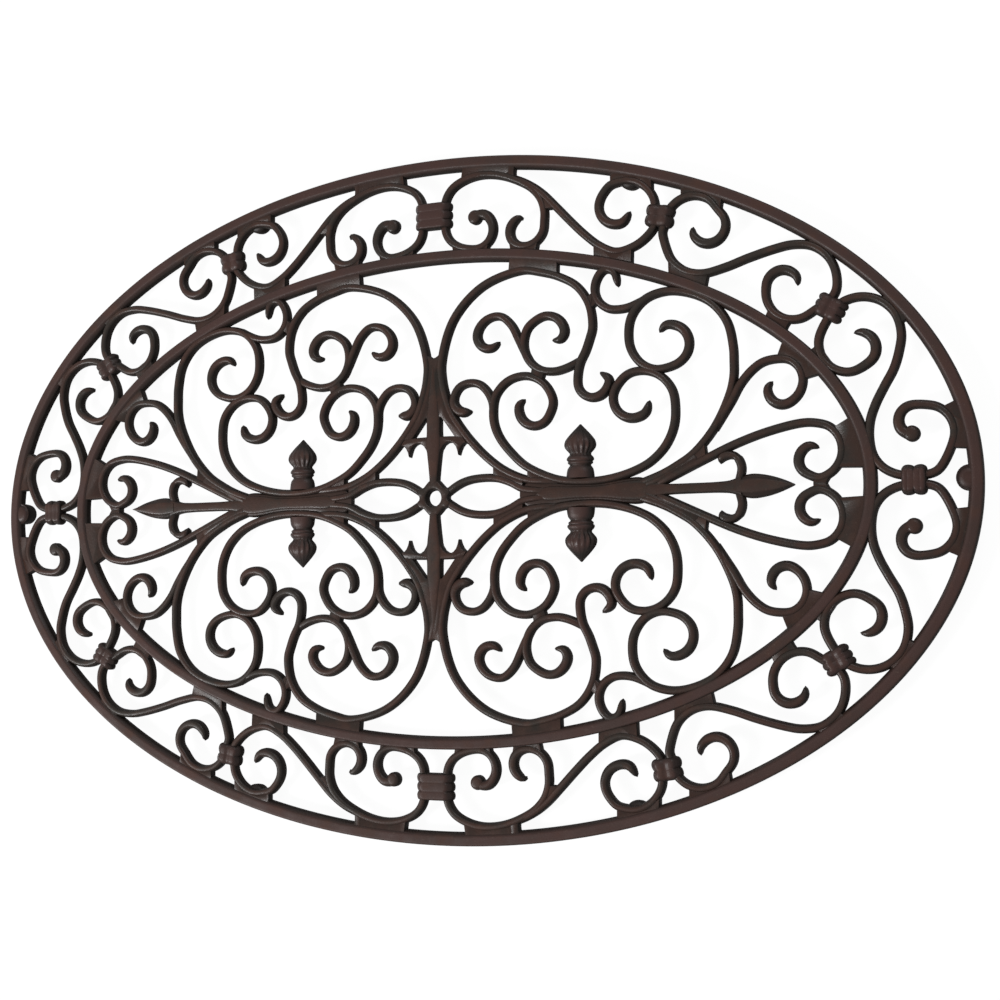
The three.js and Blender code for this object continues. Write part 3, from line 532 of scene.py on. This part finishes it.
# Radius and distance from the root of the buds that stand on the lyre scrolls
BUD = [
    (9.7, 0), (9.6, 1.5), (9.3, 4), (8.8, 6), (7.8, 7.4), (7.2, 8.2), (7.5, 8.8), (8.4, 9.4), (8.7, 10.1),
    (8.4, 10.9), (8.9, 11.3), (9.4, 11.9), (9.3, 12.9), (8.6, 14), (7.6, 14.9), (7.3, 15.6), (7.7, 16.5),
    (9.2, 18), (10.5, 19.6), (11, 21.2), (10.9, 22.8), (10.2, 24.8), (8.9, 26.6), (7.1, 28.7),
    (5.2, 30.7), (3.3, 32.6), (1.7, 34.2), (0.5, 35.5),
]
BUD_PLACE = (105, 9.7)
BUD_FLUTES = 8
FLUTES_AT = 19.0
FLUTES_LENGTH = 3.4
FLUTE_DEPTH = 0.12
CROWN_DEPTH = 0.025
CROWN_LENGTH = 4
BUD_HEIGHT = 8.1


def bud():
    """Half of a fluted bud lying on the panel."""
    angles = np.linspace(0, math.pi, 8 * BUD_FLUTES + 1)
    widest = max(radius for radius, _ in BUD)
    rings = []
    for radius, far in BUD:
        flute = FLUTE_DEPTH * math.exp(-(((far - FLUTES_AT) / FLUTES_LENGTH) ** 2))
        flute += CROWN_DEPTH * np.clip((far - FLUTES_AT) / CROWN_LENGTH, 0, 1)
        waves = 1 - flute * (0.5 - 0.5 * np.cos(angles * 2 * BUD_FLUTES))
        x = BUD_PLACE[0] + radius * waves * np.cos(angles)
        z = UNDERSIDE + BUD_HEIGHT * radius / widest * waves * np.sin(angles) ** 0.8
        rings.append(np.stack([x, np.full(len(x), BUD_PLACE[1] + far), z], 1))
    return loft(np.array(rings))


def end_foot():
    """Foot on the long axis, whose boss shows beside the band."""
    profile = [
        (5.6, 0.0), (6.8, 0.35), (7.3, 1.2), (7.7, 4), (8.0, 9.6), (7.9, 10.7), (7.4, 11.2), (6.9, 10.9),
        (6.5, 10.7), (6.0, 11.1), (5.0, 11.7), (3.2, 12.1), (1, 12.25),
    ]
    return turned(profile, (RIM_OUTER[0] - FOOT_INSET, 0))


def side_foot():
    """Foot on a long side, below the scrolls."""
    profile = [
        (5.6, 0.0), (6.8, 0.35), (7.3, 1.2), (7.8, 4.5), (7.9, 7.5), (7.2, 9.2), (5, 10.2), (1, 10.4),
    ]
    angle = math.radians(SIDE_FOOT_ANGLE)
    half_length, half_width = RIM_OUTER[0] - FOOT_INSET, RIM_OUTER[1] - FOOT_INSET
    return turned(profile, (half_length * math.cos(angle), half_width * math.sin(angle)))


def clip(size, ridges, place, angle, lumps, flat, valley=0.0, ends=1.5, ridge_depth=RIDGE_DEPTH):
    """A clip over two bars: ridges over its top, lumps down its walls, and a dip between the bars."""
    across, along = size
    rings = []
    fine = 12 * max(ridges, lumps)
    for i in range(fine + 1):
        t = i / fine
        ridge = abs(math.sin(math.pi * ridges * t))
        lump = abs(math.sin(math.pi * lumps * t))
        edge = min(t, 1 - t) * along
        close = math.sqrt(max(0.0, 1 - (1 - min(edge / ends, 1)) ** 2))
        top = CLIP_TOP - ridge_depth * (1 - ridge ** 0.5) - END_FALL * ends * (1 - close)
        half = across / 2 - LUMP_DEPTH * (1 - lump ** 0.6) - END_SHRINK * ends * (1 - close)
        wall = [
            (0.94, UNDERSIDE), (1.0, UNDERSIDE + 0.9), (1.0, UNDERSIDE + 3.8), (0.93, UNDERSIDE + 5.6),
            (flat + 0.10, top - 1.3), (flat + 0.02, top - 0.35), (flat - 0.10, top - 0.04),
        ]
        dips = [(u, valley * math.exp(-((u * VALLEY_SHARPNESS) ** 2))) for u in (1, 0.75, 0.5, 0.25)]
        middle = [(u * (flat - 0.2), top - dip) for u, dip in dips]
        right = [(half * u, z) for u, z in wall + middle]
        profile = [(-x, z) for x, z in right] + [(0, top - valley)] + right[::-1]
        rings.append([(x, along * (t - 0.5), z) for x, z in profile])
    verts, faces = loft(np.array(rings)[::-1])
    turn = math.radians(angle)
    spin = np.array([[math.cos(turn), math.sin(turn)], [-math.sin(turn), math.cos(turn)]])
    verts[:, :2] = verts[:, :2] @ spin + place
    return verts, faces


def hub():
    """The collar round the centre hole, from which the upright and the almond bars leave."""
    quarter = spline(HUB, per_span=4)
    angles = np.linspace(0, 2 * math.pi, 96, endpoint=False)
    folded = np.arctan2(np.abs(np.sin(angles)), np.abs(np.cos(angles)))
    turn = np.arctan2(quarter[:, 1], quarter[:, 0])
    reach = np.interp(folded, turn, np.hypot(quarter[:, 0], quarter[:, 1]))
    rings = []
    for angle, far in zip(angles, reach):
        profile = [
            (HUB_HOLE - 0.6, UNDERSIDE), (far - 0.3, UNDERSIDE), (far, UNDERSIDE + 0.4),
            (far - 0.1, BAR_TOP - 1.8), (far - 0.5, BAR_TOP - 0.7), (far - 1.4, BAR_TOP - 0.1),
            (HUB_HOLE + 1.2, BAR_TOP - 0.05),
            (HUB_HOLE + 0.4, BAR_TOP - 0.5), (HUB_HOLE, BAR_TOP - 1.5), (HUB_HOLE - 0.6, UNDERSIDE + 0.4),
        ]
        rings.append([(r * math.cos(angle), r * math.sin(angle), z) for r, z in profile])
    return loft(rings, closed=True)


def mirrored(part, side_x, side_y):
    """The part on the other side of the axes, still facing out."""
    verts, faces = part
    turned_over = side_x * side_y < 0
    flipped = [face[::-1] for face in faces] if turned_over else faces
    return verts * (side_x, side_y, 1), flipped


def both_ways(part):
    return [part, mirrored(part, 1, -1)]


def four_ways(part):
    return [mirrored(part, sx, sy) for sx in (1, -1) for sy in (1, -1)]


def swapped_axes(part):
    """The part turned a quarter, from along X to along Y."""
    verts, faces = part
    return np.column_stack([-verts[:, 1], verts[:, 0], verts[:, 2]]), faces


def uneven(verts):
    """Small waves of a hand-made mould, fading out at the underside and kept below the highest point."""
    found = verts.copy()
    for i, (x, y, z) in enumerate(verts):
        slow = noise.noise(Vector((x, y, z)) / WAVE_SIZE)
        quick = noise.noise(Vector((x, y, z + GRAIN_SHIFT)) / GRAIN_SIZE)
        rise = np.clip((z - UNDERSIDE) / FADE_HEIGHT, 0, 1)
        found[i, 2] = z - rise * (WAVE_HEIGHT * (0.5 + 0.5 * slow) + GRAIN_HEIGHT * (1 + quick))
    return found


def make_piece(name, parts, material):
    """One mesh object of several closed parts, standing for the node of the same name."""
    verts = []
    faces = []
    for part_verts, part_faces in parts:
        offset = sum(len(v) for v in verts)
        verts.append(part_verts)
        faces += [tuple(k + offset for k in face) for face in part_faces]
    mesh = bpy.data.meshes.new(name)
    mesh.from_pydata((uneven(np.vstack(verts)) * MM).tolist(), [], faces)
    mesh.validate()
    mesh.shade_smooth()
    mesh.set_sharp_from_angle(angle=math.radians(SHARP_ANGLE))
    mesh.materials.append(material)
    piece = bpy.data.objects.new(name + "_iron", mesh)
    bpy.context.scene.collection.objects.link(piece)
    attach(piece, "root")
    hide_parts(name)


# Colours of the iron, linear. SUNK is the brown of webs and plates that lie below the bars
BROWN = (0.050, 0.0245, 0.0205, 1)
LIVER = (0.041, 0.0225, 0.0185, 1)
UMBER = (0.040, 0.0178, 0.0124, 1)
OLIVE = (0.023, 0.0166, 0.0127, 1)
SUNK = (0.031, 0.0122, 0.0070, 1)
# The next colour is painted shade, laid on walls and low iron
PAINTED_SHADE = (0.011, 0.0075, 0.006, 1)
RUST = (0.072, 0.033, 0.022, 1)
OCHRE = (0.120, 0.088, 0.066, 1)
SPECULAR = 0.19


def feed(tree, socket, value):
    """Sets an input to a value, or links it where the value is an output."""
    if isinstance(value, bpy.types.NodeSocket):
        tree.links.new(value, socket)
    else:
        socket.default_value = value


def add(tree, kind, **inputs):
    """A node with the named inputs fed."""
    made = tree.nodes.new(kind)
    for key, value in inputs.items():
        feed(tree, made.inputs[key.replace("_", " ")], value)
    return made


def maths(tree, operation, a, b):
    made = tree.nodes.new("ShaderNodeMath")
    made.operation = operation
    feed(tree, made.inputs[0], a)
    feed(tree, made.inputs[1], b)
    return made.outputs[0]


def ramp(tree, value, low, high, at_low=0.0, at_high=1.0):
    """Runs from at_low to at_high as the value goes from low to high, and no further."""
    limits = {"From_Min": low, "From_Max": high, "To_Min": at_low, "To_Max": at_high}
    made = add(tree, "ShaderNodeMapRange", Value=value, **limits)
    made.clamp = True
    return made.outputs[0]


def mix_colour(tree, factor, a, b):
    """Mixes a to b by the factor socket, where a and b are colours or sockets."""
    made = tree.nodes.new("ShaderNodeMix")
    made.data_type = "RGBA"
    feed(tree, made.inputs["Factor"], factor)
    for key, value in (("A", a), ("B", b)):
        feed(tree, [s for s in made.inputs if s.name == key and s.type == "RGBA"][0], value)
    return [s for s in made.outputs if s.type == "RGBA"][0]


def spots(tree, place, scale, detail, roughness):
    """Noise over the place."""
    made = add(tree, "ShaderNodeTexNoise", Vector=place, Scale=scale, Detail=detail, Roughness=roughness)
    return made.outputs["Fac"]


def z_of(tree, vector):
    return add(tree, "ShaderNodeSeparateXYZ", Vector=vector).outputs["Z"]


def iron(name, brown, patch, roughness):
    """Painted cast iron: brown where it faces up, with painted shade that turns its walls and low iron near
    black, dull on its walls, with wear.
    """
    material = bpy.data.materials.new(name)
    material.use_nodes = True
    tree = material.node_tree
    place = tree.nodes.new("ShaderNodeTexCoord").outputs["Object"]
    height = z_of(tree, place)
    upward = z_of(tree, tree.nodes.new("ShaderNodeNewGeometry").outputs["Normal"])

    # Painted light and shade: the iron keeps its colour where it faces up and lies high, and gets painted
    # shade elsewhere
    facing = ramp(tree, upward, 0.42, 0.94)
    painted_light_share = maths(tree, "MULTIPLY", facing, ramp(tree, height, 0.0095, 0.0122))

    # Large patches, small rusty clouds and specks
    fine = spots(tree, place, 420.0, 6.0, 0.65)
    cloud = spots(tree, place, 70.0, 4.0, 0.6)
    patches = ramp(tree, spots(tree, place, 26.0, 5.0, 0.62), 0.41, 0.57)
    rusty = ramp(tree, cloud, 0.52, 0.74, 0.0, 0.55)
    specks = ramp(tree, fine, 0.60, 0.76, 0.0, 0.4)

    # Level iron below the tops of the bars
    level = ramp(tree, upward, 0.97, 0.995, 0.0, 0.85)
    sunk = maths(tree, "MULTIPLY", level, ramp(tree, height, 0.0119, 0.0122, 1.0, 0.0))

    colour = patch
    for share, other in ((patches, brown), (sunk, SUNK), (rusty, RUST), (specks, OCHRE)):
        colour = mix_colour(tree, share, colour, other)
    # Painted shade: walls and low iron go near black, and what faces up keeps its colour
    colour = mix_colour(tree, painted_light_share, PAINTED_SHADE, colour)

    # Rougher on walls and on level iron
    rough = ramp(tree, cloud, 0.3, 0.7, roughness - 0.08, roughness + 0.12)
    rough = maths(tree, "ADD", rough, ramp(tree, facing, 0.0, 0.45, 0.5, 0.0))
    rough = maths(tree, "ADD", rough, ramp(tree, upward, 0.96, 1.0, 0.0, 0.22))

    bumps = maths(tree, "ADD", spots(tree, place, 1500.0, 3.0, 0.6), fine)
    bump = add(tree, "ShaderNodeBump", Strength=0.2, Distance=0.0005, Height=bumps)

    finish = {
        "Base Color": colour, "Metallic": 0.0, "Roughness": rough, "Specular IOR Level": SPECULAR,
        "Normal": bump.outputs["Normal"],
    }
    for key, value in finish.items():
        feed(tree, tree.nodes["Principled BSDF"].inputs[key], value)
    return material


band_iron = iron("band_iron", BROWN, LIVER, 0.38)
scroll_iron = iron("scroll_iron", UMBER, OLIVE, 0.29)
boss_iron = iron("boss_iron", BROWN, LIVER, 0.36)

SIDES = {"back_right": (1, 1), "back_left": (-1, 1), "front_right": (1, -1), "front_left": (-1, -1)}


def make_four(name, parts, material):
    for side, (sx, sy) in SIDES.items():
        make_piece(f"{name}_{side}", [mirrored(part, sx, sy) for part in parts], material)


def make_bands():
    feet = [end_foot(), mirrored(end_foot(), -1, 1), *four_ways(side_foot())]
    make_piece("outer_rim", [oval_band(RIM_OUTER, RIM_BAND), *feet], band_iron)
    make_piece("inner_ring", [oval_band(RING_OUTER, RING_BAND)], band_iron)


def make_border():
    side = [bar(SIDE_SCROLL, start=KNOB), eye(SIDE_EYE)]
    end = [bar(END_SCROLL, end=KNOB), eye(END_EYE)]
    rows = {
        "side_scroll": side + between(fills=SIDE_FILLS),
        "hook_scroll": [branch(HOOK_SCROLL), *between(HOOK_WEBS, HOOK_FILLS)],
        "long_scroll": [bar(LONG_SCROLL), *between(LONG_WEBS, LONG_FILLS)],
        "end_scroll": end + between(END_WEBS, END_FILLS),
    }
    for name, parts in rows.items():
        make_four(name, parts, scroll_iron)


def make_panel():
    rows = {
        "lyre_scroll": [bar(LYRE_SCROLL), branch(LYRE_HOOK, BEAK)],
        "inner_loop": [branch(INNER_LOOP), *between(fills=INNER_FILLS)],
        "heart_scroll": [branch(HEART_SCROLL), branch(HEART_BRANCH), *between(HEART_WEBS)],
        "fan_scroll": [branch(FAN_SCROLL), *between(fills=FAN_FILLS)],
        "outer_loop": [
            branch(OUTER_LOOP), branch(LOOP_HOOK, STUB), branch(LOOP_BRANCH),
            *between(OUTER_WEBS, OUTER_FILLS), slab(FAN_ROOT, PLATE_TOP),
        ],
    }
    for name, parts in rows.items():
        make_four(name, parts, scroll_iron)


def make_spears():
    petal = branch(SPEAR_PETAL, PETAL)
    head = plate(HEAD, height=PLATE_TOP + 0.3, section=HEAD_SECTION)
    parts = [plate(STEM_BASE, height=BASE_TOP), plate(STEM), head, *both_ways(petal)]
    make_piece("spear_right", parts, scroll_iron)
    make_piece("spear_left", [mirrored(part, -1, 1) for part in parts], scroll_iron)


def make_rosette():
    mullion = swapped_axes(plate(MULLION, height=BAR_TOP, sink=0.9))
    crotch = slab(CROTCH + [(-x, y) for x, y in CROTCH[-2:0:-1]], WEB_TOP)
    almond = bar(ALMOND, start=PLAIN, end=PLAIN, sinks=BOTH_ROOTED)
    parts = [hub(), *both_ways(mullion), *both_ways(crotch)]
    parts += four_ways(almond) + four_ways(slab(CROSS_ARM, ARM_TOP))
    make_piece("centre_rosette", parts, scroll_iron)


def make_buds_and_clips():
    make_four("finial", [bud()], boss_iron)
    side = clip((27.4, 17.8), 3, (0, 193.8), 0, 3, 0.70)
    make_piece("side_clip_back", [side], boss_iron)
    make_piece("side_clip_front", [mirrored(side, 1, -1)], boss_iron)
    end = clip((18.4, 14.8), 4, (320, 0), 90, 2, 0.70, 0.3, ends=2.6, ridge_depth=0.28)
    make_piece("end_clip_right", [end], boss_iron)
    make_piece("end_clip_left", [mirrored(end, -1, 1)], boss_iron)
    tie = clip((19.6, 14.6), 2, (162.5, 177), -10, 2, 0.62, 1.0, ends=4)
    make_four("tie_clip", [tie], boss_iron)
    corner = clip((20.0, 14.5), 2, (271.5, 108), -30, 3, 0.62, 1.2, ends=4)
    make_four("corner_clip", [corner], boss_iron)


# Floor in metres, its diffuse share and its own light
FLOOR_REACH = 12.0
FLOOR_DROP = 0.0005
FLOOR_DIFFUSE = (0.11, 0.11, 0.11, 1)
FLOOR_GLOW = 0.95


def make_floor():
    """A white floor that keeps a faint shadow of the mat."""
    mesh = bpy.data.meshes.new("floor")
    far = FLOOR_REACH
    corners = [(-far, -far, 0), (far, -far, 0), (far, far, 0), (-far, far, 0)]
    mesh.from_pydata(corners, [], [(0, 1, 2, 3)])
    floor = bpy.data.objects.new("floor", mesh)
    floor.location.z = -FLOOR_DROP
    bpy.context.scene.collection.objects.link(floor)
    material = bpy.data.materials.new("floor_white")
    material.use_nodes = True
    tree = material.node_tree
    tree.nodes.clear()
    plain = add(tree, "ShaderNodeBsdfDiffuse", Color=FLOOR_DIFFUSE)
    glow = add(tree, "ShaderNodeEmission", Strength=maths(tree, "MULTIPLY", seen_directly(tree), FLOOR_GLOW))
    both = tree.nodes.new("ShaderNodeAddShader")
    feed(tree, both.inputs[0], plain.outputs[0])
    feed(tree, both.inputs[1], glow.outputs[0])
    add(tree, "ShaderNodeOutputMaterial", Surface=both.outputs[0])
    mesh.materials.append(material)


def seen_directly(tree):
    """One for rays from the camera, and for those it sees by gloss or through glass."""
    path = tree.nodes.new("ShaderNodeLightPath").outputs
    seen = path["Is Camera Ray"]
    for name in ("Is Glossy Ray", "Is Transmission Ray"):
        seen = maths(tree, "MAXIMUM", seen, path[name])
    return seen


def make_world():
    """White surroundings, weaker as a light than to the eye."""
    world = bpy.data.worlds.new("studio")
    bpy.context.scene.world = world
    world.use_nodes = True
    tree = world.node_tree
    background = tree.nodes["Background"]
    feed(tree, background.inputs["Color"], (1, 1, 1, 1))
    feed(tree, background.inputs["Strength"], ramp(tree, seen_directly(tree), 0, 1, 0.25, 1.0))


def make_lamp(name, place, size, power):
    """An area light aimed at the middle of the mat."""
    data = bpy.data.lights.new(name, "AREA")
    data.shape = "RECTANGLE"
    data.size, data.size_y = size
    data.energy = power
    lamp = bpy.data.objects.new(name, data)
    lamp.location = place
    lamp.rotation_euler = (-Vector(place)).to_track_quat("-Z", "Y").to_euler()
    bpy.context.scene.collection.objects.link(lamp)


make_bands()
make_border()
make_panel()
make_spears()
make_rosette()
make_buds_and_clips()
make_floor()
make_world()
make_lamp("key", place=(-1.45, -0.8, 1.35), size=(0.5, 0.7), power=38)
make_lamp("fill", place=(0.5, 1.5, 1.5), size=(0.9, 0.5), power=9)

bpy.context.scene.view_settings.view_transform = "Standard"
